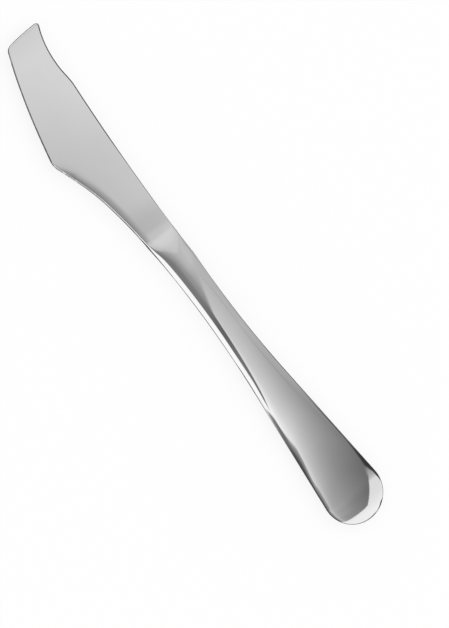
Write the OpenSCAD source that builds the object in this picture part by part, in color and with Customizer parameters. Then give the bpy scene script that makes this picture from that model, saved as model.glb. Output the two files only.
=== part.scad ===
// Shellfish knife with a hollow handle, lying on its side.
// +X points to the blade tip, +Y to the cutting edge and +Z up.
// A place along the knife is its distance behind the blade tip, called "at" below.
// A height across the knife is measured from the long axis, with + towards the cutting edge.

/* [Overall] */
// Length from the blade tip to the handle end
overall_length = 200; // [190:1:215]

/* [Blade outline] */
// Distance from the tip to the shoulder, where the blade thickens
blade_length = 83; // [79:0.5:87]
// Height of the spine corner of the tip
tip_rise = 9.8; // [8.5:0.1:11]
// Depth of the lower corner of the tip
tip_drop = 4.1; // [3:0.1:5.5]
// Distance that the lower corner of the tip is set back
tip_slant = 0.7; // [0.3:0.1:2]
// Bulge of the tip edge
tip_crown = 0.3; // [0.1:0.05:0.8]
// Rounding of the two corners of the tip
tip_corner = 1.8; // [0.8:0.1:2.4]
// Angle at which the spine falls from the tip corner into the notch
notch_angle = 27; // [22:0.5:30]
// Distance from the tip to the bottom of the notch in the spine
notch_setback = 16; // [14:0.5:18]
// Height of the spine at the bottom of the notch
notch_rise = 6.3; // [5.8:0.1:6.8]
// Distance from the tip to the hump behind the notch
hump_setback = 23.5; // [21:0.5:27]
// Height of the spine at the hump
hump_rise = 6.8; // [6.3:0.1:7.5]
// Angle of the spine behind the hump
spine_angle = 3.8; // [2:0.1:6]
// Height of the spine at the shoulder
shoulder_rise = 4.9; // [4.4:0.1:5.3]
// Distance from the tip to the heel of the cutting edge
heel_setback = 41; // [37:0.5:45]
// Depth of the heel
heel_drop = 15.5; // [14:0.1:17]
// Rounding of the heel
heel_corner = 2; // [1:0.1:3]
// Angle of the cutting edge at the tip
edge_angle_tip = 22; // [18:0.5:26]
// Angle of the cutting edge at the heel
edge_angle_heel = 11.5; // [8:0.5:15]
// Angle at which the belly leaves the heel
belly_angle = 20; // [16:0.5:24]
// Distance from the tip to the middle of the belly's curve
belly_setback = 62; // [56:0.5:68]
// Depth of the belly at the middle of its curve
belly_drop = 8.8; // [7.8:0.1:9.8]
// Angle of the belly at the middle of its curve
belly_middle_angle = 11; // [8:0.5:14]

/* [Blade thickness] */
// Thickness at the shoulder, on the long axis
shoulder_thickness = 2.6; // [2:0.1:3]
// Thickness at the heel
heel_thickness = 1.3; // [0.9:0.1:1.8]
// Thickness at the spine corner of the tip
tip_thickness = 1.5; // [1:0.1:1.9]

/* [Bolster and tang] */
// Length of the bolster from the shoulder to the handle's mouth
bolster_length = 12; // [10:0.5:15]
// Steepness of the bolster's rise: 4 is soft, 8 is steep
bolster_rise = 6.5; // [5:0.1:8]
// Length of the oval plug that enters the handle
spigot_length = 5; // [3:0.5:8]
// Length of the tang behind the handle's mouth
tang_length = 45; // [35:1:60]
// Width of the tang
tang_width = 5; // [3.5:0.1:6]
// Thickness of the tang
tang_thickness = 2.2; // [1.5:0.1:2.6]
// Diameter of the key holes in the tang
key_hole = 2.4; // [1.5:0.1:2.8]

/* [Handle] */
// Distance from the handle's mouth to the neck, its narrowest place
neck_setback = 14; // [10:0.5:18]
// Width of the neck
neck_width = 10; // [9:0.1:11.5]
// Thickness of the neck
neck_thickness = 7.3; // [6.6:0.1:8.4]
// Length of the curved part of the flare behind the neck
flare_run = 34; // [25:0.5:45]
// Width of the round handle end
end_width = 21.4; // [19:0.1:24]
// Thickness of the handle end
end_thickness = 4.6; // [4:0.1:6]
// Sharpness of the rim around the handle end: 1 is an oval section, 2 is a lens with a sharp rim
rim_sharpness = 1.6; // [1.2:0.05:1.8]
// Wall of the half shells
wall = 0.8; // [0.5:0.05:1]
// Thickness of the solder in the seams
solder = 0.1; // [0.05:0.01:0.2]
// Clearance between the plug, tang, cement and shells
fit = 0.06; // [0.03:0.01:0.1]

/* [Hidden] */

steel_colour = [0.78, 0.78, 0.79];
shell_colour = [0.74, 0.75, 0.76];
solder_colour = [0.82, 0.80, 0.72];
cement_colour = [0.66, 0.63, 0.58];

// Number of steps in the curves and around the sections
curve_steps = 12;
corner_steps = 5;
bolster_steps = 14;
flare_steps = 20;
end_steps = 10;
arc_steps = 16;
ring_steps = 2 * arc_steps;

// How far a piece runs into the next one of the same solid
bury = 0.3;
bury_run = 2;
// Length over which the blade narrows inside the bolster
tail_run = 5;
// Number of key holes, their spacing in hole diameters and the sides of the tools that cut them
key_count = 2;
key_spacing = 4;
key_sides = 32;
key_pitch = key_spacing * key_hole;
// Squareness of the bolster's section where it leaves the blade, and how fast it rounds off behind it
bolster_squareness = 8;
bolster_fade = 4;

mouth_at = blade_length + bolster_length;
shell_at = mouth_at + solder;
neck_at = mouth_at + neck_setback;
spigot_at = mouth_at + spigot_length;
tang_at = mouth_at + tang_length;
tail_at = blade_length + tail_run;
bolster_at = blade_length - bury_run;

// Points on a quadratic and a cubic curve
function bend(a, b, c, t) = a * pow(1 - t, 2) + 2 * b * t * (1 - t) + c * pow(t, 2);
function sweep(a, b, c, d, t) =
    a * pow(1 - t, 3) + 3 * b * t * pow(1 - t, 2) + 3 * c * pow(t, 2) * (1 - t) + d * pow(t, 3);
function steps(count) = [for (i = [0 : count]) i / count];
function between(from, to) = [for (t = steps(curve_steps)) from + (to - from) * t];
function rounded(a, corner, b) = [for (t = steps(corner_steps)) bend(a, corner, b, t)];
function signed_power(base, exponent) = sign(base) * pow(abs(base), exponent);

// Tip of the blade: the tip edge with its two rounded corners
tip_low = [tip_slant, tip_drop];
tip_high = [0, -tip_rise];
tip_middle = (tip_low + tip_high) / 2 - [2 * tip_crown, 0];
edge_run = heel_setback - tip_slant;
tip_share = tip_corner / norm(tip_high - tip_low);
notch_share = tip_corner / notch_setback;
edge_share = tip_corner / edge_run;
function tip_at(t) = bend(tip_low, tip_middle, tip_high, t);
function notch_at(t) = [notch_setback * t,
    sweep(-tip_rise, -tip_rise + tan(notch_angle) * notch_setback / 3, -notch_rise, -notch_rise, t)];
function edge_at(t) = [tip_slant + edge_run * t,
    sweep(tip_drop, tip_drop + tan(edge_angle_tip) * edge_run / 3,
        heel_drop - tan(edge_angle_heel) * edge_run / 3, heel_drop, t)];
tip_outline = concat(
    rounded(edge_at(edge_share), tip_low, tip_at(tip_share)),
    [for (t = between(tip_share, 1 - tip_share)) tip_at(t)],
    rounded(tip_at(1 - tip_share), tip_high, notch_at(notch_share))
);
tip_gap = min([for (p = tip_outline) p[0]]);

// Handle outline: a waist at the neck, a curved flare, a straight stretch and a half-round end
end_radius = end_width / 2;
end_half_height = end_thickness / 2;
neck_half_width = neck_width / 2;
neck_half_height = neck_thickness / 2;
end_at = overall_length + tip_gap;
end_centre_at = end_at - end_radius;
straight_run = end_centre_at - neck_at - flare_run / 2;
flare_slope = (end_radius * sqrt(pow(straight_run, 2) + pow(neck_half_width, 2) - pow(end_radius, 2))
    - neck_half_width * straight_run) / (pow(straight_run, 2) - pow(end_radius, 2));
flare_angle = atan(flare_slope);
tangent_at = end_centre_at - end_radius * sin(flare_angle);

function handle_half_width(at) =
    let (run = at - neck_at)
    neck_half_width + (run < flare_run
        ? flare_slope * pow(run, 2) / (2 * flare_run)
        : flare_slope * (run - flare_run / 2));

// Share of the change from the neck's section to the end's section: 0 at the neck, 1 at the end
function end_share(at) = (1 - cos(180 * max(0, min(1, (at - neck_at) / (end_centre_at - neck_at))))) / 2;

// Half the thickness rises from the blade to the neck, then falls to the end
function half_height(at) =
    at < neck_at
        ? neck_half_height - (neck_half_height - bolster_start)
            * pow((neck_at - at) / (neck_at - bolster_at), bolster_rise)
        : neck_half_height - (neck_half_height - end_half_height) * end_share(at);

// Rows of [at, half width, half height, rim sharpness] along the handle, set in from its outside
function handle_rows(start, inset) = concat(
    [for (t = steps(flare_steps))
        let (at = start + (tangent_at - start) * t)
        [at, handle_half_width(at) - inset, half_height(at) - inset, 1 + (rim_sharpness - 1) * end_share(at)]],
    [for (k = [1 : end_steps - 1])
        let (angle = -flare_angle + (90 + flare_angle) * k / end_steps, radius = end_radius - inset)
        [end_centre_at + radius * sin(angle), radius * cos(angle),
            (end_half_height - inset) * (angle < 0 ? 1 : pow(cos(angle), rim_sharpness)), rim_sharpness]]
);

// Rest of the blade outline: the hump, the spine, the shoulder, the belly and the throat below the bolster
mouth_half_width = handle_half_width(mouth_at);
mouth_slope = -flare_slope * neck_setback / flare_run;

function hump_at(t) = [notch_setback + (hump_setback - notch_setback) * t,
    sweep(-notch_rise, -notch_rise, -hump_rise, -hump_rise, t)];
spine_run = blade_length - hump_setback;
function spine_at(t) = [hump_setback + spine_run * t,
    sweep(-hump_rise, -hump_rise + tan(spine_angle) * spine_run / 3, -shoulder_rise, -shoulder_rise, t)];
function shoulder_at(t) = [blade_length + bolster_length * t,
    sweep(-shoulder_rise, -shoulder_rise, -mouth_half_width + mouth_slope * bolster_length / 3,
        -mouth_half_width, t)];
belly_run = belly_setback - heel_setback;
function belly_at(t) = [heel_setback + belly_run * t,
    sweep(heel_drop, heel_drop - tan(belly_angle) * belly_run / 3,
        belly_drop + tan(belly_middle_angle) * belly_run / 3, belly_drop, t)];
throat_run = mouth_at - belly_setback;
function throat_at(t) = [belly_setback + throat_run * t,
    sweep(belly_drop, belly_drop - tan(belly_middle_angle) * throat_run / 3,
        mouth_half_width - mouth_slope * throat_run / 3, mouth_half_width, t)];

heel_share = heel_corner / edge_run;
belly_share = heel_corner / belly_run;
shoulder_share = (blade_length - belly_setback) / throat_run;

blade_outline = concat(
    tip_outline,
    [for (t = between(notch_share, 1)) notch_at(t)],
    [for (t = between(0, 1)) hump_at(t)],
    [for (t = between(0, 1)) spine_at(t)],
    [[tail_at, -tang_width / 2], [tail_at, tang_width / 2]],
    [for (t = between(shoulder_share, 0)) throat_at(t)],
    [for (t = between(1, belly_share)) belly_at(t)],
    rounded(belly_at(belly_share), [heel_setback, heel_drop], edge_at(1 - heel_share)),
    [for (t = between(1 - heel_share, edge_share)) edge_at(t)]
);

// Blade faces: a plane through half the thickness at the shoulder, the heel and the tip
plane_shoulder = [-blade_length, 0, shoulder_thickness / 2];
plane_heel = [-heel_setback, heel_drop, heel_thickness / 2];
plane_tip = [0, -tip_rise, tip_thickness / 2];
face_normal = cross(plane_heel - plane_shoulder, plane_tip - plane_shoulder);
face_up = face_normal * sign(face_normal[2]) / norm(face_normal);
face_turn = [0, acos(face_up[2]), atan2(face_up[1], face_up[0])];
bolster_start = shoulder_thickness / 2 - bury;

// Where the model sits in its own frame: centred, and lowest at the neck
end_reach = max([for (row = handle_rows(shell_at, 0)) row[1]]);
lowest_height = min(concat([-end_reach], [for (p = blade_outline) p[1]]));
highest_height = max(concat([end_reach], [for (p = blade_outline) p[1]]));
rest_place = [overall_length / 2 + tip_gap, -(lowest_height + highest_height) / 2, neck_half_height];

module placed() {
    translate(rest_place) children();
}

// Shapes that repeat

// Triangles between rings of points that lie one after another, with a flat cap at each end
function ring_faces(rings, count) = concat(
    [for (i = [0 : rings - 2], j = [0 : count - 1])
        let (a = i * count + j, b = i * count + (j + 1) % count)
        each [[a, b, b + count], [a, b + count, a + count]]],
    [[for (j = [0 : count - 1]) count - 1 - j]],
    [[for (j = [0 : count - 1]) (rings - 1) * count + j]]
);

function oval(half_width, half_height, count, sharpness = 1) =
    [for (j = [0 : count - 1])
        let (angle = 360 * j / count)
        [half_width * cos(angle), half_height * signed_power(sin(angle), sharpness)]];

// Turns a flat shape drawn in width and thickness to face along the knife, from one place to another
module along(from, to) {
    translate([-to, 0, 0])
        rotate([90, 0, 90])
            linear_extrude(height = to - from)
                children();
}

module below_blade_face() {
    reach = 2 * overall_length;
    translate(plane_shoulder)
        rotate(face_turn)
            translate([-reach / 2, -reach / 2, -reach])
                cube(reach);
}

module blade_plate() {
    intersection() {
        linear_extrude(height = neck_thickness, center = true)
            polygon([for (p = blade_outline) [-p[0], p[1]]]);
        below_blade_face();
        mirror([0, 0, 1]) below_blade_face();
    }
}

// One oval section of the bolster: squarish at the blade, a true ellipse at the mouth
function bolster_ring(at) =
    let (
        top = at < blade_length
            ? spine_at((at - hump_setback) / spine_run)[1]
            : shoulder_at((at - blade_length) / bolster_length)[1],
        bottom = throat_at((at - belly_setback) / throat_run)[1],
        left = (mouth_at - at) / (mouth_at - bolster_at),
        power = 2 / (2 + bolster_squareness * pow(left, bolster_fade)),
        tuck = bury * max(0, (blade_length + bury_run / 2 - at) / bury_run)
    )
    [for (j = [0 : ring_steps - 1])
        let (angle = 360 * j / ring_steps)
        [-at,
            (top + bottom) / 2 + ((bottom - top) / 2 - tuck) * signed_power(cos(angle), power),
            half_height(at) * signed_power(sin(angle), power)]];

module bolster() {
    points = [for (t = steps(bolster_steps)) each bolster_ring(bolster_at + (mouth_at - bolster_at) * t)];
    polyhedron(points, ring_faces(bolster_steps + 1, ring_steps));
}

module spigot() {
    half_width = min(handle_half_width(mouth_at), handle_half_width(spigot_at)) - wall - fit;
    half_thickness = min(half_height(mouth_at), half_height(spigot_at)) - wall - fit;
    along(mouth_at - bury, spigot_at)
        polygon(oval(half_width, half_thickness, ring_steps));
}

// The tang, or with a clearance the slot that it lies in
module tang(clearance) {
    difference() {
        translate([-tang_at - clearance, -tang_width / 2 - clearance, -tang_thickness / 2 - clearance])
            cube([tang_at - tail_at + bury + clearance, tang_width + 2 * clearance,
                tang_thickness + 2 * clearance]);
        for (k = [1 : key_count])
            translate([-spigot_at - key_pitch * k, 0, 0])
                cylinder(d = key_hole - 2 * clearance, h = neck_thickness, center = true, $fn = key_sides);
    }
}

module blade() {
    color(steel_colour)
        placed()
            union() {
                blade_plate();
                bolster();
                spigot();
                tang(0);
            }
}

// Half of the handle's shell, above the solder in the seam
module half_shell() {
    outer = handle_rows(shell_at, 0);
    inner = handle_rows(shell_at, wall);
    rows = len(outer);
    count = arc_steps + 1;
    function skin(list) = [for (row = list, j = [0 : arc_steps])
        let (angle = 180 * j / arc_steps)
        [-row[0], row[1] * cos(angle), solder / 2 + (row[2] - solder / 2) * pow(sin(angle), row[3])]];
    points = concat(skin(outer), skin(inner),
        [[-end_at, 0, solder / 2], [-end_at + wall, 0, solder / 2]]);
    inside = rows * count;
    outer_end = 2 * inside;
    inner_end = outer_end + 1;
    last = (rows - 1) * count;
    walls = [for (i = [0 : rows - 2], j = [0 : arc_steps - 1])
        let (a = i * count + j)
        each [[a, a + 1, a + count + 1], [a, a + count + 1, a + count],
            [inside + a, inside + a + count + 1, inside + a + 1],
            [inside + a, inside + a + count, inside + a + count + 1]]];
    ends = [for (j = [0 : arc_steps - 1])
        each [[last + j, last + j + 1, outer_end], [inside + last + j, inner_end, inside + last + j + 1]]];
    mouth = [for (j = [0 : arc_steps - 1])
        each [[j, inside + j, inside + j + 1], [j, inside + j + 1, j + 1]]];
    rims = [for (i = [0 : rows - 2])
        let (a = i * count, b = a + arc_steps)
        each [[a, a + count, inside + a + count], [a, inside + a + count, inside + a],
            [b, inside + b, inside + b + count], [b, inside + b + count, b + count]]];
    rim_end = [
        [last, outer_end, inner_end], [last, inner_end, inside + last],
        [last + arc_steps, inner_end, outer_end], [last + arc_steps, inside + last + arc_steps, inner_end]];
    polyhedron(points, concat(walls, ends, mouth, rims, rim_end));
}

module handle_front_shell() {
    color(shell_colour)
        placed()
            half_shell();
}

module handle_back_shell() {
    color(shell_colour)
        placed()
            mirror([0, 0, 1])
                half_shell();
}

// Outline of the handle in plan, open at the mouth, set in from its outside
function seam_side(inset, side) = [for (row = handle_rows(shell_at, inset)) [-row[0], side * row[1]]];
function reversed(list) = [for (i = [len(list) - 1 : -1 : 0]) list[i]];

module seam_solder() {
    color(solder_colour)
        placed()
            linear_extrude(height = solder, center = true)
                polygon(concat(
                    seam_side(0, 1), [[-end_at, 0]], reversed(seam_side(0, -1)),
                    seam_side(wall, -1), [[-end_at + wall, 0]], reversed(seam_side(wall, 1))));
}

module mouth_solder() {
    width = handle_half_width(mouth_at);
    height = half_height(mouth_at);
    color(solder_colour)
        placed()
            along(mouth_at, shell_at)
                difference() {
                    polygon(oval(width, height, ring_steps));
                    polygon(oval(width - wall, height - wall, ring_steps));
                }
}

module handle_core() {
    rows = handle_rows(spigot_at + fit, wall + fit);
    points = [for (row = rows, p = oval(row[1], row[2], ring_steps, row[3])) [-row[0], p[0], p[1]]];
    color(cement_colour)
        placed()
            difference() {
                polyhedron(points, ring_faces(len(rows), ring_steps));
                tang(fit);
            }
}

blade();
handle_front_shell();
handle_back_shell();
seam_solder();
mouth_solder();
handle_core();
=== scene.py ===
"""Looks of the shellfish knife: its polished pieces, their materials, the light, the floor and the camera.

Lengths are in millimetres until a mesh is made. As in the part's source, "at" is the distance behind the
blade tip and "across" is the distance from the long axis, with + towards the cutting edge.
"""

import math

import bpy
import numpy as np
from mathutils import Matrix, Vector


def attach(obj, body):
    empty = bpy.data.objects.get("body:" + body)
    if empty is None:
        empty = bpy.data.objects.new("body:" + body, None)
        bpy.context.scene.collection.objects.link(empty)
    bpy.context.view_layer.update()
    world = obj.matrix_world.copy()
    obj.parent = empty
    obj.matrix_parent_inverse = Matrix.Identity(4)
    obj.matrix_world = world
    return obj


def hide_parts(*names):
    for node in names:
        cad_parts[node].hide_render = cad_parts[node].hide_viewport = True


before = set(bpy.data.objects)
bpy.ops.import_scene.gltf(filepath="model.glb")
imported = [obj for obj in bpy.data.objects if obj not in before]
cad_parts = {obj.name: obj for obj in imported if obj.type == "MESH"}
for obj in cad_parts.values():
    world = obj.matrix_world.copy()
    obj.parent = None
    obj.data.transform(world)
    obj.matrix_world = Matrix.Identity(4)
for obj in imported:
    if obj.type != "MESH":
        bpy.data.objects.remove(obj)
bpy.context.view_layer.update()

# Shape of the blade's outline
BLADE_LENGTH = 83
TIP_RISE, TIP_DROP, TIP_SLANT, TIP_CROWN, TIP_CORNER = 9.8, 4.1, 0.7, 0.3, 1.8
NOTCH_ANGLE, NOTCH_SETBACK, NOTCH_RISE = 27, 16, 6.3
HUMP_SETBACK, HUMP_RISE = 23.5, 6.8
SPINE_ANGLE, SHOULDER_RISE = 3.8, 4.9
HEEL_SETBACK, HEEL_DROP, HEEL_CORNER = 41, 15.5, 2
EDGE_ANGLE_TIP, EDGE_ANGLE_HEEL = 22, 11.5
BELLY_ANGLE, BELLY_SETBACK, BELLY_DROP, BELLY_MIDDLE_ANGLE = 20, 62, 8.8, 11

# Thickness of the blade, shape of the bolster and what it carries inside the handle
SHOULDER_THICKNESS, HEEL_THICKNESS, TIP_THICKNESS = 2.6, 1.3, 1.5
BOLSTER_LENGTH, BOLSTER_RISE, BOLSTER_START, BOLSTER_BURY = 12, 6.5, 1.0, 2
BOLSTER_SQUARENESS, BOLSTER_FADE, BOLSTER_FALL = 8, 4, 0.25
BOLSTER_AT = BLADE_LENGTH - BOLSTER_BURY
MOUTH_AT = BLADE_LENGTH + BOLSTER_LENGTH
SPIGOT_LENGTH, TANG_LENGTH, TANG_WIDTH, TANG_THICKNESS = 5, 45, 5, 2.2

# Shape of the handle. The flare's slope makes its straight stretch tangent to the round end.
NECK_SETBACK, NECK_HALF_WIDTH, NECK_HALF_HEIGHT = 14, 5, 3.65
NECK_AT = MOUTH_AT + NECK_SETBACK
FLARE_RUN, FLARE_SLOPE = 34, 0.0908173
END_RADIUS, END_HALF_HEIGHT, RIM_SHARPNESS = 10.7, 2.3, 1.6
END_AT = 199.948
END_CENTRE_AT = END_AT - END_RADIUS
WALL, SOLDER, FIT = 0.8, 0.1, 0.06

# Where the blade tip's axis point sits in the shared frame
REST_PLACE = np.array([99.9483, -2.28266, NECK_HALF_HEIGHT])

# How the polished surface differs from the plain solid: rounded edges, a bevel along the belly, a soft fall
# beside it and a soft crease at the shoulder
SPINE_ROUNDING, EDGE_ROUNDING, RIM_ROUNDING = 0.6, 0.4, 0.12
ROUNDING_LIMIT, LEAST_ROUNDING = 0.9, 0.01
BEVEL_HEEL, BEVEL_SHOULDER, BEVEL_POWER = 0.52, 0.25, 1.15
BEVEL_FADE, BEVEL_INNER, BEVEL_OUTER = 2, 0.3, 0.7
ROLL_ANGLE, ROLL_POWER, ROLL_WIDTH_HEEL, ROLL_WIDTH_SHOULDER, ROLL_ONSET = 22, 2.4, 4.2, 2.2, 6
SHOULDER_BLEND = 1.3

# Power of a plain oval: a larger power gives a squarer shape and a smaller one a flatter shape
OVAL = 2

# Fineness of the meshes
CURVE_POINTS, CORNER_POINTS = 80, 12
BLADE_ROWS, BLADE_COLUMNS, TIP_FADE = 190, 81, 12
FLARE_STEPS, END_STEPS, SHELL_COLUMNS = 130, 40, 73
PLUG_POINTS, RING_POINTS = 48, 96
SHARP_ANGLE = 50

# Tone of the steel and colour of the cement, then the noise in them: its range and its steps per metre
STEEL = 0.88
CEMENT = (0.66, 0.63, 0.58)
NOISE_LOW, NOISE_HIGH = 0.3, 0.7
POLISHING_LINES, TONE_CLOUDS, CEMENT_GRAINS = (60, 2500, 2500), 45, 900

# Radius of the tent of painted reflections over the knife, and how far the sheet of painted shadow, seen only
# in the steel, lies below the knife
TENT_RADIUS, SHADOW_SHEET_DROP = 100, 0.05


def tangent(degrees):
    return math.tan(math.radians(degrees))


def bend(a, b, c, t):
    """Points on a quadratic curve."""
    return a * (1 - t) ** 2 + 2 * b * t * (1 - t) + c * t**2


def sweep(a, b, c, d, t):
    """Points on a cubic curve."""
    return a * (1 - t) ** 3 + 3 * b * t * (1 - t) ** 2 + 3 * c * t**2 * (1 - t) + d * t**3


def mix(a, b, share):
    return a + (b - a) * share


def smooth_step(low, high, value):
    t = np.clip((value - low) / (high - low), 0, 1)
    return t * t * (3 - 2 * t)


def smooth_max(a, b, blend):
    """The larger of two heights, with a soft crease as wide as the blend."""
    share = np.clip(0.5 + 0.5 * (a - b) / blend, 0, 1)
    return b + (a - b) * share + blend * share * (1 - share)


def through(place, *points):
    """Height at a place of the bent line through points of (place, height)."""
    places, heights = zip(*points)
    return np.interp(place, places, heights)


# Handle laws


def half_width(at):
    run = at - NECK_AT
    curved = FLARE_SLOPE * run**2 / (2 * FLARE_RUN)
    straight = FLARE_SLOPE * (run - FLARE_RUN / 2)
    return NECK_HALF_WIDTH + np.where(run < FLARE_RUN, curved, straight)


def end_share(at):
    """How far the section has changed from the neck's to the end's."""
    return (1 - np.cos(np.pi * np.clip((at - NECK_AT) / (END_CENTRE_AT - NECK_AT), 0, 1))) / 2


def half_height(at):
    rise = np.clip((NECK_AT - at) / (NECK_AT - BOLSTER_AT), 0, None) ** BOLSTER_RISE
    front = NECK_HALF_HEIGHT - (NECK_HALF_HEIGHT - BOLSTER_START) * rise
    back = NECK_HALF_HEIGHT - (NECK_HALF_HEIGHT - END_HALF_HEIGHT) * end_share(at)
    return np.where(at < NECK_AT, front, back)


def handle_rows(inset):
    """Rows of [at, half width, half height, sharpness] along the handle, set in from its outside."""
    flare_angle = math.atan(FLARE_SLOPE)
    flare_end = END_CENTRE_AT - END_RADIUS * math.sin(flare_angle)
    at = np.linspace(MOUTH_AT + SOLDER, flare_end, FLARE_STEPS + 1)
    sharpness = 1 + (RIM_SHARPNESS - 1) * end_share(at)
    flare = np.stack([at, half_width(at) - inset, half_height(at) - inset, sharpness], 1)
    angle = np.linspace(-flare_angle, math.pi / 2, END_STEPS + 1)[1:-1]
    radius = END_RADIUS - inset
    fall = np.where(angle < 0, 1, np.cos(angle) ** RIM_SHARPNESS)
    end = np.stack(
        [
            END_CENTRE_AT + radius * np.sin(angle),
            radius * np.cos(angle),
            (END_HALF_HEIGHT - inset) * fall,
            np.full_like(angle, RIM_SHARPNESS),
        ],
        1,
    )
    return np.concatenate([flare, end])


# Blade outline, as points of [at, across]


def curve(start, end, a, b, c, d, first=0, last=1):
    t = np.linspace(first, last, CURVE_POINTS)
    return np.stack([start + (end - start) * t, sweep(a, b, c, d, t)], 1)


def rounded(a, corner, b, first=0, last=1):
    t = np.linspace(first, last, CORNER_POINTS)[:, None]
    return bend(np.array(a), np.array(corner), np.array(b), t)


def blade_lines():
    """The spine side, the edge side and the tip of the blade.

    The three lines meet in the middle of the tip's rounded corners.
    """
    mouth_width = float(half_width(np.array(MOUTH_AT)))
    mouth_slope = -FLARE_SLOPE * (NECK_AT - MOUTH_AT) / FLARE_RUN
    edge_run = HEEL_SETBACK - TIP_SLANT
    belly_run = BELLY_SETBACK - HEEL_SETBACK
    throat_run = MOUTH_AT - BELLY_SETBACK
    spine_run = BLADE_LENGTH - HUMP_SETBACK
    tip_low, tip_high = np.array([TIP_SLANT, TIP_DROP]), np.array([0, -TIP_RISE])
    tip_middle = (tip_low + tip_high) / 2 - np.array([2 * TIP_CROWN, 0])

    tip_share = TIP_CORNER / np.linalg.norm(tip_high - tip_low)
    notch_share, edge_share = TIP_CORNER / NOTCH_SETBACK, TIP_CORNER / edge_run
    heel_share, belly_share = HEEL_CORNER / edge_run, HEEL_CORNER / belly_run

    notch = curve(
        0,
        NOTCH_SETBACK,
        -TIP_RISE,
        -TIP_RISE + tangent(NOTCH_ANGLE) * NOTCH_SETBACK / 3,
        -NOTCH_RISE,
        -NOTCH_RISE,
        first=notch_share,
    )
    hump = curve(NOTCH_SETBACK, HUMP_SETBACK, -NOTCH_RISE, -NOTCH_RISE, -HUMP_RISE, -HUMP_RISE)
    spine = curve(
        HUMP_SETBACK,
        BLADE_LENGTH,
        -HUMP_RISE,
        -HUMP_RISE + tangent(SPINE_ANGLE) * spine_run / 3,
        -SHOULDER_RISE,
        -SHOULDER_RISE,
    )
    shoulder = curve(
        BLADE_LENGTH,
        MOUTH_AT,
        -SHOULDER_RISE,
        -SHOULDER_RISE,
        -mouth_width + mouth_slope * BOLSTER_LENGTH / 3,
        -mouth_width,
    )
    edge = curve(
        TIP_SLANT,
        HEEL_SETBACK,
        TIP_DROP,
        TIP_DROP + tangent(EDGE_ANGLE_TIP) * edge_run / 3,
        HEEL_DROP - tangent(EDGE_ANGLE_HEEL) * edge_run / 3,
        HEEL_DROP,
        first=edge_share,
        last=1 - heel_share,
    )
    belly = curve(
        HEEL_SETBACK,
        BELLY_SETBACK,
        HEEL_DROP,
        HEEL_DROP - tangent(BELLY_ANGLE) * belly_run / 3,
        BELLY_DROP + tangent(BELLY_MIDDLE_ANGLE) * belly_run / 3,
        BELLY_DROP,
        first=belly_share,
    )
    throat = curve(
        BELLY_SETBACK,
        MOUTH_AT,
        BELLY_DROP,
        BELLY_DROP - tangent(BELLY_MIDDLE_ANGLE) * throat_run / 3,
        mouth_width - mouth_slope * throat_run / 3,
        mouth_width,
    )
    t = np.linspace(1 - tip_share, tip_share, CURVE_POINTS)[:, None]
    tip = bend(tip_low, tip_middle, tip_high, t)
    high = (tip[0], tip_high, notch[0])
    low = (tip[-1], tip_low, edge[0])
    heel = rounded(edge[-1], [HEEL_SETBACK, HEEL_DROP], belly[0])

    spine_line = [rounded(*high, first=0.5)[:-1], notch[:-1], hump[:-1], spine[:-1], shoulder]
    edge_line = [rounded(*low, first=0.5)[:-1], edge[:-1], heel[:-1], belly[:-1], throat]
    tip_line = [rounded(*high, first=0.5, last=0)[:-1], tip[:-1], rounded(*low, last=0.5)]
    return np.concatenate(spine_line), np.concatenate(edge_line), np.concatenate(tip_line)


def half_plate(at, across):
    """Half the thickness of the flat blade.

    It is a plane through its values at the shoulder, the heel and the tip.
    """
    shoulder, heel, tip = SHOULDER_THICKNESS / 2, HEEL_THICKNESS / 2, TIP_THICKNESS / 2
    along, sideways = np.linalg.solve(
        [[BLADE_LENGTH - HEEL_SETBACK, HEEL_DROP], [BLADE_LENGTH, -TIP_RISE]],
        [shoulder - heel, shoulder - tip],
    )
    return shoulder - along * (BLADE_LENGTH - at) - sideways * across


def blade_top(at, across, spine_side, edge_side, edge_gap):
    """Height of the blade's polished surface, from the flat plate up to the oval bolster."""
    sideways = (across - spine_side) / (edge_side - spine_side)
    share = np.clip((at - HEEL_SETBACK) / (BLADE_LENGTH - HEEL_SETBACK), 0, 1)

    # Rounded edges, which turn into a bevel along the belly
    belly = smooth_step(HEEL_SETBACK - BEVEL_FADE, HEEL_SETBACK + BEVEL_FADE, at)
    lower = smooth_step(BEVEL_INNER, BEVEL_OUTER, sideways)
    bevel = mix(BEVEL_HEEL, BEVEL_SHOULDER, share)
    rounding = mix(SPINE_ROUNDING, mix(EDGE_ROUNDING, bevel, belly), lower)
    rounding = np.minimum(rounding, ROUNDING_LIMIT * half_plate(at, across))
    power = mix(OVAL, BEVEL_POWER, belly * lower)
    inside = np.clip(1 - edge_gap / rounding, 0, 1)
    plate = half_plate(at, across) - rounding + rounding * (1 - inside**power) ** (1 / power)

    # Soft fall beside the belly
    roll_width = mix(ROLL_WIDTH_HEEL, ROLL_WIDTH_SHOULDER, share)
    near = np.clip(1 - (edge_side - across) / roll_width, 0, 1)
    roll = tangent(ROLL_ANGLE) * roll_width / ROLL_POWER * near**ROLL_POWER
    plate = plate - roll * np.minimum(1, ROLL_ONSET * share)
    plate = plate * (1 - smooth_step(BLADE_LENGTH, MOUTH_AT, at))

    # Bolster, square where it leaves the blade and oval at the handle's mouth
    left = np.clip((MOUTH_AT - at) / (MOUTH_AT - BOLSTER_AT), 0, 1)
    squareness = OVAL + BOLSTER_SQUARENESS * left**BOLSTER_FADE
    offset = np.abs(2 * sideways - 1)
    crown = np.clip(1 - offset**squareness, 0, 1) ** (1 / squareness)
    ahead = BOLSTER_START - BOLSTER_FALL * (BOLSTER_AT - at)
    height = np.where(at > BOLSTER_AT, half_height(at), ahead)
    bolster = SOLDER / 2 + (height - SOLDER / 2) * crown
    return np.maximum(smooth_max(plate, bolster, SHOULDER_BLEND), SOLDER / 2)


# Meshes


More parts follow.
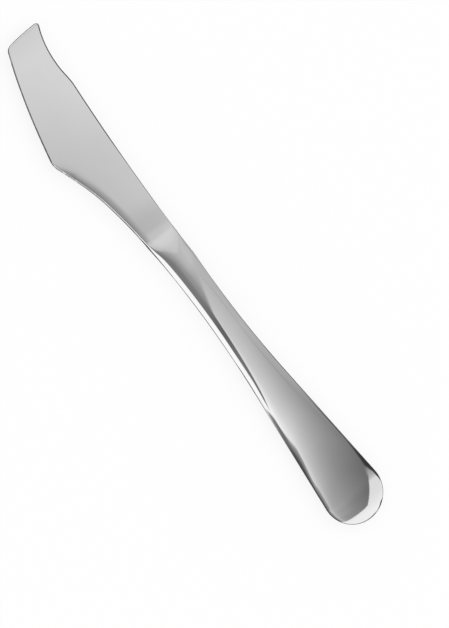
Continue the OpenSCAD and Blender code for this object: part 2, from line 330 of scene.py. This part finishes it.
def grid_faces(rows, columns, start=0, flip=False):
    """Faces of a grid of points that lie row after row."""
    faces = []
    for i in range(rows - 1):
        for j in range(columns - 1):
            a = start + i * columns + j
            face = (a, a + 1, a + columns + 1, a + columns)
            faces.append(face[::-1] if flip else face)
    return faces


def strip_faces(first, second):
    """Faces between two lines of point numbers of the same length."""
    return [(first[k], first[k + 1], second[k + 1], second[k]) for k in range(len(first) - 1)]


def oval(at, half_wide, half_high, count):
    angle = np.linspace(0, 2 * np.pi, count, endpoint=False)
    return np.stack([np.full(count, -at), half_wide * np.cos(angle), half_high * np.sin(angle)], 1)


def line_share(line):
    """Share of the way along a line at each of its points."""
    run = np.concatenate([[0], np.cumsum(np.linalg.norm(np.diff(line, axis=0), axis=1))])
    return run / run[-1]


def blade_mesh():
    """The blade with its bolster: rows across it, closer together at the tip, mirrored to the back."""
    spine_line, edge_line, tip_line = blade_lines()
    close = np.array([0, 0.01, 0.03, 0.06, 0.1, 0.15, 0.21, 0.28, 0.36, 0.5, 0.7])
    station = np.concatenate([close, np.linspace(1, MOUTH_AT, BLADE_ROWS)])[:, None]
    side = (1 - np.cos(np.linspace(0, np.pi, BLADE_COLUMNS)))[None, :] / 2

    left = 1 - station / MOUTH_AT
    spine_at = station + spine_line[0, 0] * left
    edge_at = station + edge_line[0, 0] * left
    spine_across = np.interp(spine_at, *spine_line.T)
    edge_across = np.interp(edge_at, *edge_line.T)
    chord = tip_line[:1] + (tip_line[-1:] - tip_line[:1]) * side.T
    tip_curve = np.stack([np.interp(side[0], line_share(tip_line), column) for column in tip_line.T], 1)
    bulge = tip_curve - chord
    fade = np.clip(1 - station / TIP_FADE, 0, 1) ** 2
    at = spine_at + (edge_at - spine_at) * side + fade * bulge[:, 0]
    across = spine_across + (edge_across - spine_across) * side + fade * bulge[:, 1]

    spine_side = np.interp(at, *spine_line.T)
    edge_side = np.interp(at, *edge_line.T)
    edge_gap = np.minimum(np.minimum(across - spine_across, edge_across - across), station)
    edge_gap = np.clip(edge_gap, 0, None)
    top = blade_top(at, across, spine_side, edge_side, edge_gap)

    rows, columns = at.shape
    count = rows * columns
    upper = np.stack([-at, across, top], 2).reshape(-1, 3)
    points = [upper, upper * [1, 1, -1]]
    faces = grid_faces(rows, columns) + grid_faces(rows, columns, count, flip=True)
    number = np.arange(count).reshape(rows, columns)
    rim = np.concatenate([number[:, 0], number[-1, 1:], number[-2::-1, -1], number[0, -2::-1]])
    faces += strip_faces(rim, rim + count)
    return points, faces


def closed_tube(rings, start):
    """Points and faces of a solid through rings of equal length."""
    count = len(rings[0])
    faces = []
    for i in range(len(rings) - 1):
        for j in range(count):
            a, b = start + i * count + j, start + i * count + (j + 1) % count
            faces.append((a, a + count, b + count, b))
    end = start + len(rings) * count - 1
    faces.append(tuple(range(start, start + count)))
    faces.append(tuple(range(end, end - count, -1)))
    return list(rings), faces


def add_hidden_tang(points, faces):
    """Adds the plug and the tang that sit inside the handle."""
    spigot_at, tang_at = MOUTH_AT + SPIGOT_LENGTH, MOUTH_AT + TANG_LENGTH
    ends = np.array([MOUTH_AT, spigot_at])
    wide = float(half_width(ends).min()) - WALL - FIT
    high = float(half_height(ends).min()) - WALL - FIT
    corners = np.array([[1, 1], [-1, 1], [-1, -1], [1, -1]]) * [TANG_WIDTH / 2, TANG_THICKNESS / 2]
    plug = [oval(MOUTH_AT, wide, high, PLUG_POINTS), oval(spigot_at, wide, high, PLUG_POINTS)]
    tang = [np.insert(corners, 0, -spigot_at, axis=1), np.insert(corners, 0, -tang_at, axis=1)]
    for rings in (plug, tang):
        start = sum(len(ring) for ring in points)
        new_points, new_faces = closed_tube(rings, start)
        points += new_points
        faces += new_faces


def shell_skin(side, inset, largest_rounding):
    """Rows of points on one skin of a half shell, with a rounded rim."""
    angle = np.linspace(0, np.pi, SHELL_COLUMNS)
    row_at, row_width, row_height, sharpness = handle_rows(inset).T[:, :, None]
    at = row_at + 0 * angle
    across = row_width * np.cos(angle)
    beside, around = row_width - np.abs(across), END_RADIUS - np.hypot(at - END_CENTRE_AT, across)
    gap = np.where(at < END_CENTRE_AT, beside, around)
    rounding = largest_rounding * end_share(at)
    rim = np.sqrt(1 - (1 - np.clip(gap / np.maximum(rounding, LEAST_ROUNDING), 0, 1)) ** 2)
    fall = row_height / (half_height(row_at) - inset)
    crown = (row_height - (SOLDER / 2 + rounding) * fall) * np.sin(angle) ** sharpness
    height = SOLDER / 2 + crown + rounding * rim
    return np.stack([-at, across, side * height], 2).reshape(-1, 3)


def shell_mesh(side):
    """Half of the handle's shell: an outer skin, an inner skin and the rim between them."""
    columns = SHELL_COLUMNS
    skins = [shell_skin(side, 0, RIM_ROUNDING), shell_skin(side, WALL, 0)]
    count = len(skins[0])
    rows = count // columns
    outer_end, inner_end = 2 * count, 2 * count + 1
    ends = np.array([[-END_AT, 0, side * SOLDER / 2], [-END_AT + WALL, 0, side * SOLDER / 2]])

    number = np.arange(count).reshape(rows, columns)
    faces = grid_faces(rows, columns) + grid_faces(rows, columns, count, flip=True)
    last = number[-1]
    faces += [(last[j], last[j + 1], outer_end) for j in range(columns - 1)]
    faces += [(last[j + 1] + count, last[j] + count, inner_end) for j in range(columns - 1)]
    out, back = number[:, 0], np.concatenate([number[::-1, -1], number[0, -2::-1]])
    outer_rim = np.concatenate([out, [outer_end], back])
    inner_rim = np.concatenate([out + count, [inner_end], back + count])
    faces += strip_faces(outer_rim, inner_rim)
    if side > 0:
        faces = [face[::-1] for face in faces]
    return skins + [ends], faces


def seam_mesh():
    """The strip of solder between the half shells, around the handle's outline."""
    loops = []
    for inset in (0, WALL):
        rows = handle_rows(inset)
        one = np.stack([-rows[:, 0], rows[:, 1], 0 * rows[:, 0]], 1)
        end = np.array([[-END_AT + inset, 0, 0]])
        loops.append(np.concatenate([one, end, one[::-1] * [1, -1, 1]]))
    count = len(loops[0])
    lift = np.array([0, 0, SOLDER / 2])
    points = [loops[0] + lift, loops[1] + lift, loops[1] - lift, loops[0] - lift]
    lines = [np.arange(count) + k * count for k in range(4)]
    faces = []
    for k in range(4):
        faces += strip_faces(lines[k], lines[(k + 1) % 4])
    faces += [tuple(line[0] for line in lines), tuple(line[-1] for line in lines[::-1])]
    return points, faces


def mouth_mesh():
    """The oval ring of solder between the bolster and the shells."""
    width, height = float(half_width(np.array(MOUTH_AT))), float(half_height(np.array(MOUTH_AT)))
    count = RING_POINTS
    rings = []
    for at, inset in ((0, 0), (SOLDER, 0), (SOLDER, WALL), (0, WALL)):
        rings.append(oval(MOUTH_AT + at, width - inset, height - inset, count))
    faces = []
    for k in range(4):
        a, b = k * count, ((k + 1) % 4) * count
        for j in range(count):
            faces.append((a + j, b + j, b + (j + 1) % count, a + (j + 1) % count))
    return rings, faces


def make_piece(name, points, faces, slot, material):
    """Makes a piece from points in millimetres, in place of the part's node of that name."""
    mesh = bpy.data.meshes.new(name)
    metres = (np.concatenate(points) + REST_PLACE) / 1000
    mesh.from_pydata(metres.tolist(), [], [tuple(int(k) for k in face) for face in faces])
    mesh.polygons.foreach_set("use_smooth", [True] * len(mesh.polygons))
    mesh.set_sharp_from_angle(angle=math.radians(SHARP_ANGLE))
    mesh.materials.append(material)
    piece = bpy.data.objects.new(name + "_look", mesh)
    bpy.context.scene.collection.objects.link(piece)
    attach(piece, "root")
    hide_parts(name)


# Materials


def new_material(name):
    material = bpy.data.materials.new(name)
    material.use_nodes = True
    return material, material.node_tree.nodes, material.node_tree.links.new


def add(nodes, kind, inputs=None, **settings):
    """Adds a node with its settings and the values of its inputs."""
    node = nodes.new(kind)
    for name, value in settings.items():
        setattr(node, name, value)
    for name, value in (inputs or {}).items():
        node.inputs[name].default_value = value
    return node


def tone_ramp(nodes, colour, low, high):
    """A ramp between a darker and a lighter tone of a colour, as shares of it at two places."""
    ramp = add(nodes, "ShaderNodeValToRGB")
    for element, (place, share) in zip(ramp.color_ramp.elements, (low, high)):
        element.color = [*(share * c for c in colour), 1]
        element.position = place
    return ramp


def polished_metal(name, colour, roughness):
    """Polished metal with faint lines along the knife and slight changes of tone."""
    material, nodes, link = new_material(name)
    shader = nodes["Principled BSDF"]
    shader.inputs["Metallic"].default_value = 1
    place = add(nodes, "ShaderNodeTexCoord")
    stretch = add(nodes, "ShaderNodeMapping", {"Scale": POLISHING_LINES})
    lines = add(nodes, "ShaderNodeTexNoise", {"Scale": 1, "Detail": 3})
    clouds = add(nodes, "ShaderNodeTexNoise", {"Scale": TONE_CLOUDS, "Detail": 4})
    tone = tone_ramp(nodes, colour, (NOISE_LOW, 0.97), (NOISE_HIGH, 1.02))
    gloss = add(
        nodes,
        "ShaderNodeMapRange",
        {
            "From Min": NOISE_LOW,
            "From Max": NOISE_HIGH,
            "To Min": 0.8 * roughness,
            "To Max": 1.2 * roughness,
        },
    )
    link(place.outputs["Object"], stretch.inputs["Vector"])
    link(stretch.outputs["Vector"], lines.inputs["Vector"])
    link(place.outputs["Object"], clouds.inputs["Vector"])
    link(clouds.outputs["Fac"], tone.inputs["Fac"])
    link(tone.outputs["Color"], shader.inputs["Base Color"])
    link(lines.outputs["Fac"], gloss.inputs["Value"])
    link(gloss.outputs["Result"], shader.inputs["Roughness"])
    return material


def cement(name, colour):
    """Matt filling cement with grains."""
    material, nodes, link = new_material(name)
    shader = nodes["Principled BSDF"]
    shader.inputs["Roughness"].default_value = 0.9
    place = add(nodes, "ShaderNodeTexCoord")
    grains = add(nodes, "ShaderNodeTexNoise", {"Scale": CEMENT_GRAINS, "Detail": 6})
    tone = tone_ramp(nodes, colour, (0, 0.8), (1, 1.1))
    bump = add(nodes, "ShaderNodeBump", {"Distance": 0.0001})
    link(place.outputs["Object"], grains.inputs["Vector"])
    link(grains.outputs["Fac"], tone.inputs["Fac"])
    link(tone.outputs["Color"], shader.inputs["Base Color"])
    link(grains.outputs["Fac"], bump.inputs["Height"])
    link(bump.outputs["Normal"], shader.inputs["Normal"])
    return material


blade_steel = polished_metal("blade_steel", (STEEL, STEEL, STEEL), 0.06)
handle_steel = polished_metal("handle_steel", (STEEL, STEEL, STEEL), 0.05)
solder_metal = polished_metal("solder_metal", (STEEL, STEEL, 0.98 * STEEL), 0.08)
core_cement = cement("core_cement", CEMENT)

# Pieces

blade_points, blade_faces = blade_mesh()
add_hidden_tang(blade_points, blade_faces)
make_piece("blade", blade_points, blade_faces, "blade_steel", blade_steel)
make_piece("handle_front_shell", *shell_mesh(1), "handle_steel", handle_steel)
make_piece("handle_back_shell", *shell_mesh(-1), "handle_steel", handle_steel)
make_piece("seam_solder", *seam_mesh(), "solder", solder_metal)
make_piece("mouth_solder", *mouth_mesh(), "solder", solder_metal)

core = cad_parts["handle_core"]
core.data.materials.clear()
core.data.materials.append(core_cement)

# Camera: the knife's plane is turned 17 degrees about the photo's upright direction

TURN, AXIS_ANGLE = math.radians(17), math.radians(37.88)
MM_PER_PIXEL, IMAGE_WIDTH, IMAGE_HEIGHT = 0.33, 449, 628
CENTRE_PIXEL = (188.43, 283.3)
CAMERA_DISTANCE, SENSOR_HEIGHT = 8, 24
METRES_PER_PIXEL = MM_PER_PIXEL / 1000

towards = Vector(
    (
        math.sin(TURN) * math.sin(AXIS_ANGLE),
        math.sin(TURN) * math.cos(AXIS_ANGLE),
        math.cos(TURN),
    )
)
image_up = Vector((math.cos(AXIS_ANGLE), -math.sin(AXIS_ANGLE), 0))
image_right = image_up.cross(towards)
aim = Vector((0, 0, NECK_HALF_HEIGHT / 1000))
aim += image_right * (IMAGE_WIDTH / 2 - CENTRE_PIXEL[0]) * METRES_PER_PIXEL
aim -= image_up * (IMAGE_HEIGHT / 2 - CENTRE_PIXEL[1]) * METRES_PER_PIXEL

camera_data = bpy.data.cameras.new("camera")
camera_data.sensor_fit = "VERTICAL"
camera_data.sensor_height = SENSOR_HEIGHT
camera_data.lens = CAMERA_DISTANCE * SENSOR_HEIGHT / (IMAGE_HEIGHT * METRES_PER_PIXEL)
camera = bpy.data.objects.new("camera", camera_data)
turned = Matrix((image_right, image_up, towards)).transposed().to_4x4()
camera.matrix_world = Matrix.Translation(aim + towards * CAMERA_DISTANCE) @ turned

scene = bpy.context.scene
scene.collection.objects.link(camera)
scene.camera = camera

# Light and floor

scene.view_settings.view_transform = "Standard"

world = bpy.data.worlds.new("studio")
world.use_nodes = True
world.node_tree.nodes["Background"].inputs["Color"].default_value = (1, 1, 1, 1)
world.node_tree.nodes["Background"].inputs["Strength"].default_value = 1
scene.world = world

# Painted reflections: shapes in the tent, a glowing sheet seen only in the steel, which tent_tone lays over
# one another


def painted_grey_reflection(along, angle):
    """Painted reflection of grey, which darkens towards the handle's end and turns white at the left."""
    blade = ((0, 196), (24, 212), (39, 207), (59, 199), (84, 192), (90, 182), (96, 189))
    handle = ((118, 191), (140, 194), (160, 192), (180, 189), (190, 174), (202, 146), (225, 133), (265, 134))
    tone = through(along, *blade, *handle)
    lean = through(along, (104, 0), (116, 0.2), (140, 0.24), (160, 0.48), (180, 0.9), (200, 0.9), (260, 0.75))
    tone = tone + lean * np.clip(angle, -60, 30)
    slope = through(along, (20, 0), (40, 0.8), (60, 0.9), (88, 1.6), (100, 0))
    tone = tone - slope * np.clip(angle + 11, -3, 8)
    low_end = smooth_step(204, 215, along) * smooth_step(250, 238, along)
    tone = tone + 8 * smooth_step(-15, 15, angle) * low_end
    return mix(tone, 250, smooth_step(22, 64, angle))


def painted_neck_shade(tone, along, angle):
    """Painted shade: a dark shape in the reflection beside the belly and the neck, with a sharp lower edge.
    """
    lower = 123.3 + 0.21 * angle + 25.5 * smooth_step(28, 52, angle)
    outer = through(along, (88, 60), (104, 69), (143, 69), (153, 60))
    inside = smooth_step(lower + 2, lower - 2, along) * smooth_step(outer + 3, outer - 3, angle)
    tone = mix(tone, 105, smooth_step(14, 44, angle) * smooth_step(44, 60, along) * inside)

    right = ((-45, 191), (-13, 181), (-5, 174), (0, 169))
    left = ((5, 161), (12, 152), (20, 144), (30, 128), (40, 120))
    shade = through(angle, *right, *left)
    shade = shade - 12 * smooth_step(108, 118, along) * smooth_step(25, 0, angle)
    shade = shade - 22 * smooth_step(122, 138, along) + 14 * smooth_step(138, 146, along)
    start = 66 + 16 * smooth_step(4, -10, angle)
    return mix(tone, shade, smooth_step(-60, -45, angle) * smooth_step(start, start + 18, along) * inside)


def painted_handle_streak(tone, along, angle):
    """Painted shade: a dark streak in the reflection at the left of the handle, which starts far left and
    meets the handle lower down.
    """
    edge = through(along, (157, 90), (161, 70), (165, 58.5), (168, 56), (172, 50.5), (181, 35))
    edge = edge + 4.5 * smooth_step(184, 191, along)
    edge = edge - 4 * (smooth_step(191, 195, along) - smooth_step(200, 208, along))
    shade = 140 - 65 * smooth_step(edge + 2, edge + 18, angle)
    shade = mix(120 - 14 * smooth_step(163, 168, along), shade, smooth_step(170, 177, along))
    return mix(tone, shade, smooth_step(edge - 3, edge + 2, angle) * smooth_step(150, 156, along))


def painted_neck_line(tone, along, angle):
    """Painted shade: a faint dark line in the reflection at the right of the neck."""
    off_line = np.abs(angle + 42 + 12 * smooth_step(116, 130, along))
    length = smooth_step(112, 122, along) * smooth_step(175, 160, along)
    return tone - 14 * smooth_step(4, 0, off_line) * length


def painted_end_highlight(tone, along, angle):
    """Painted highlight: a white patch of the tent beyond the handle's end."""
    edge = through(angle, (-70, 196), (-50, 201), (-45, 203), (-40, 208), (-21, 260), (-14, 264.5), (33, 275))
    glow = 157 + 63 * smooth_step(198, 214, along) + 18 * smooth_step(225, 300, along)
    return mix(tone, glow, smooth_step(edge - 1, edge + 1, along))


def painted_end_shade(tone, along, angle):
    """Painted shade: a dark shape in the reflection at the right of the handle's end."""
    handle = ((160, -104), (163, -92), (172, -82), (182, -73.5), (186, -71))
    end = ((191, -65), (195, -60), (199.5, -53))
    beyond = ((200.5, -61), (209, -62), (222, -69), (232, -78), (284, -78), (292, -58))
    edge = through(along, *handle, *end, *beyond)
    shade = 95 + 20 * smooth_step(176, 163, along) - 42 * smooth_step(184, 195, along)
    return mix(tone, shade, smooth_step(edge + 1.5, edge - 1.5, angle) * smooth_step(158, 162, along))


def painted_rim_shade(tone, along, angle):
    """Painted shade: a dark patch low beyond the handle's end, under the painted highlight, which the end's
    rim shows.
    """
    height, sideways = np.cos(np.radians(angle)), np.sin(np.radians(angle))
    beyond = np.clip(along - END_AT, 1, None) / TENT_RADIUS
    elevation = np.degrees(np.arctan2(height, np.hypot(beyond, sideways)))
    top = 8 + 14 * smooth_step(-72, -40, angle)
    return mix(tone, 60, smooth_step(top + 2, top - 2, elevation) * smooth_step(200, 210, along))


def painted_side_shade(tone, along, angle):
    """Painted shade: dark reflections at both sides of the blade, which its rounded edges show, and lighter
    ahead of the tip.
    """
    ahead = smooth_step(-5, -45, along)
    tone = mix(tone, 90 + 85 * ahead, smooth_step(30, 55, angle) * smooth_step(60, 30, along))
    edge = through(along, (45, -45), (62, -45), (75, -78))
    return mix(tone, 75 + 85 * ahead, smooth_step(edge + 8, edge - 8, angle) * smooth_step(92, 84, along))


def tent_tone(along, angle):
    """Tone from 0 to 255 of the painted reflection that the steel shows where it reflects the tent over the
    knife.

    The place on the tent is a distance behind the blade tip and an angle from straight up, + to the left.
    """
    tone = painted_grey_reflection(along, angle)
    for shape in (painted_neck_shade, painted_handle_streak, painted_neck_line, painted_end_highlight, painted_end_shade, painted_rim_shade, painted_side_shade):
        tone = shape(tone, along, angle)
    return tone


def outside(along, across):
    """Distance from the knife's outline to a place on the sheet of painted shadow beside it."""
    spine_line, edge_line, _ = blade_lines()
    width = half_width(along)
    left = np.where(along < MOUTH_AT, np.interp(along, *edge_line.T), width)
    right = np.where(along < MOUTH_AT, -np.interp(along, *spine_line.T), width)
    beside = np.maximum(np.maximum(across - left, -across - right), -along)
    return np.where(along < END_CENTRE_AT, beside, np.hypot(along - END_CENTRE_AT, across) - END_RADIUS)


def painted_shadow_tone(along, across):
    """The same tone for the sheet under the knife: painted shadow, dark close to the knife, and painted dark
    reflections along the handle and beyond its end.
    """
    left = through(along, (152, 250), (172, 75))
    right = through(along, (82, 60), (86, 110), (90, 160), (104, 176), (150, 172), (172, 115), (188, 58))
    tone = np.where(along > END_CENTRE_AT, 58, np.where(across > 0, left, right))
    blade = ((42, 14), (48, 3), (80, 3))
    left_margin = through(along, *blade, (84.5, 1), (104, 2), (130, 2.5), (142, 8))
    right_margin = through(along, *blade, (84.5, 2.5), (110, 5), (130, 6), (150, 12), (170, 16))
    margin = np.where(across > 0, left_margin, right_margin)
    # Painted shadow: tone 45 within a margin around the knife's outline
    return mix(tone, 45, smooth_step(margin + 0.5, margin - 0.5, outside(along, across)))


def light_of(tone):
    """Light that shows on a screen as a tone from 0 to 255, by the usual curve of screens."""
    value = np.clip(tone / 255, 0, 1)
    return np.where(value <= 0.04045, value / 12.92, ((value + 0.055) / 1.055) ** 2.4)


def reflected_card(name, points, tone):
    """A glowing sheet from a grid of points, seen only in the steel, where it shows as a painted reflection
    with the given tone.
    """
    mesh = bpy.data.meshes.new(name)
    metres = (points.reshape(-1, 3) + REST_PLACE) / 1000
    mesh.from_pydata(metres.tolist(), [], grid_faces(*tone.shape))
    glow = mesh.attributes.new("glow", "FLOAT", "POINT")
    glow.data.foreach_set("value", (light_of(tone) / STEEL).ravel())

    material, nodes, link = new_material(name)
    nodes.clear()
    value = add(nodes, "ShaderNodeAttribute", attribute_name="glow")
    light = add(nodes, "ShaderNodeEmission")
    output = add(nodes, "ShaderNodeOutputMaterial")
    link(value.outputs["Fac"], light.inputs["Strength"])
    link(light.outputs["Emission"], output.inputs["Surface"])
    mesh.materials.append(material)

    card = bpy.data.objects.new(name, mesh)
    card.visible_camera = False
    card.visible_diffuse = False
    card.visible_shadow = False
    card.visible_transmission = False
    card.visible_volume_scatter = False
    scene.collection.objects.link(card)


def painted_reflection_tent():
    """The curved tent of painted reflections over the knife and the sheet of painted shadow under it, with
    close points near the knife.
    """
    along = np.concatenate([np.arange(-120, 0, 5), np.arange(0, 300), np.arange(300, 2000, 10)])
    angle = np.arange(-94, 95)
    along, angle = np.meshgrid(along, angle, indexing="ij")
    lift = np.stack([np.sin(np.radians(angle)), np.cos(np.radians(angle))], 2) * TENT_RADIUS
    # Tent of painted reflections, a glowing sheet seen only in the steel
    reflected_card("painted_reflection_tent", np.dstack([-along, lift]), tent_tone(along, angle))

    along = np.concatenate([np.arange(-60, 260), np.arange(260, 1000, 20)])
    across = np.concatenate([np.arange(-105, -25, 5), np.arange(-25, 25, 0.5), np.arange(25, 106, 5)])
    along, across = np.meshgrid(along, across, indexing="ij")
    height = np.full(along.shape, -NECK_HALF_HEIGHT - SHADOW_SHEET_DROP)
    # Sheet of painted shadow and painted dark reflections, seen only in the steel
    reflected_card("painted_shadow_sheet", np.dstack([-along, across, height]), painted_shadow_tone(along, across))


def pale_floor():
    """A white floor that keeps a faint shadow of the knife."""
    size, height = 4, -0.0001
    paper_tone, glow_share = 0.97, 0.85
    corners = [(-size, -size, height), (size, -size, height), (size, size, height), (-size, size, height)]
    mesh = bpy.data.meshes.new("floor")
    mesh.from_pydata(corners, [], [(0, 1, 2, 3)])
    material, nodes, link = new_material("floor")
    nodes.clear()
    paper = add(nodes, "ShaderNodeBsdfDiffuse", {"Color": (paper_tone, paper_tone, paper_tone, 1)})
    glow = add(nodes, "ShaderNodeEmission")
    blend = add(nodes, "ShaderNodeMixShader")
    rays = add(nodes, "ShaderNodeLightPath")
    sharp = add(nodes, "ShaderNodeMath", operation="ADD")
    seen = add(nodes, "ShaderNodeMath", operation="ADD")
    share = add(nodes, "ShaderNodeMath", {1: glow_share}, operation="MULTIPLY", use_clamp=True)
    output = add(nodes, "ShaderNodeOutputMaterial")
    link(rays.outputs["Is Glossy Ray"], sharp.inputs[0])
    link(rays.outputs["Is Transmission Ray"], sharp.inputs[1])
    link(rays.outputs["Is Camera Ray"], seen.inputs[0])
    link(sharp.outputs["Value"], seen.inputs[1])
    link(seen.outputs["Value"], share.inputs[0])
    link(share.outputs["Value"], blend.inputs["Fac"])
    link(paper.outputs["BSDF"], blend.inputs[1])
    link(glow.outputs["Emission"], blend.inputs[2])
    link(blend.outputs["Shader"], output.inputs["Surface"])
    mesh.materials.append(material)
    floor = bpy.data.objects.new("floor", mesh)
    scene.collection.objects.link(floor)


painted_reflection_tent()
pale_floor()
